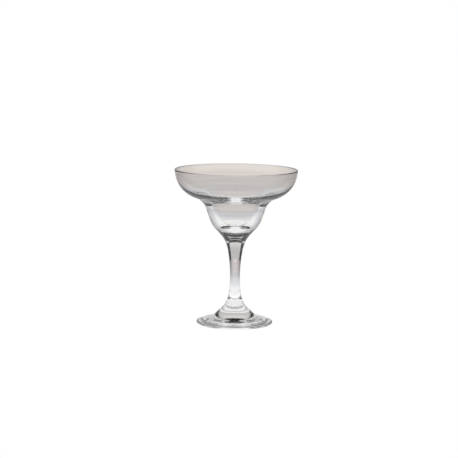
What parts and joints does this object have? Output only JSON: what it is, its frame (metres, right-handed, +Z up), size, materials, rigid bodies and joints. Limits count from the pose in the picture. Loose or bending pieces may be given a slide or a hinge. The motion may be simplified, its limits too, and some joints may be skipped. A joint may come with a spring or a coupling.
{
  "type": "margarita glass",
  "caption": "Clear stemmed drinking glass with a wide shallow saucer over a small round cup, on a slim waisted stem and a broad round foot.",
  "frame": {"origin": "centre of the foot on the surface that the glass stands on", "axes": "+Z up the stem, towards the rim; the glass is turned round Z, so X and Y are alike"},
  "size_m": [0.119, 0.119, 0.15],
  "materials": {
    "foot_glass": "clear pressed glass, fire-polished edge",
    "stem_glass": "clear drawn glass, fire-polished",
    "bowl_glass": "clear blown glass, fire-polished rim"
  },
  "bodies": {
    "root": {"foot": "foot_glass", "stem": "stem_glass", "bowl": "bowl_glass"}
  },
  "joints": []
}
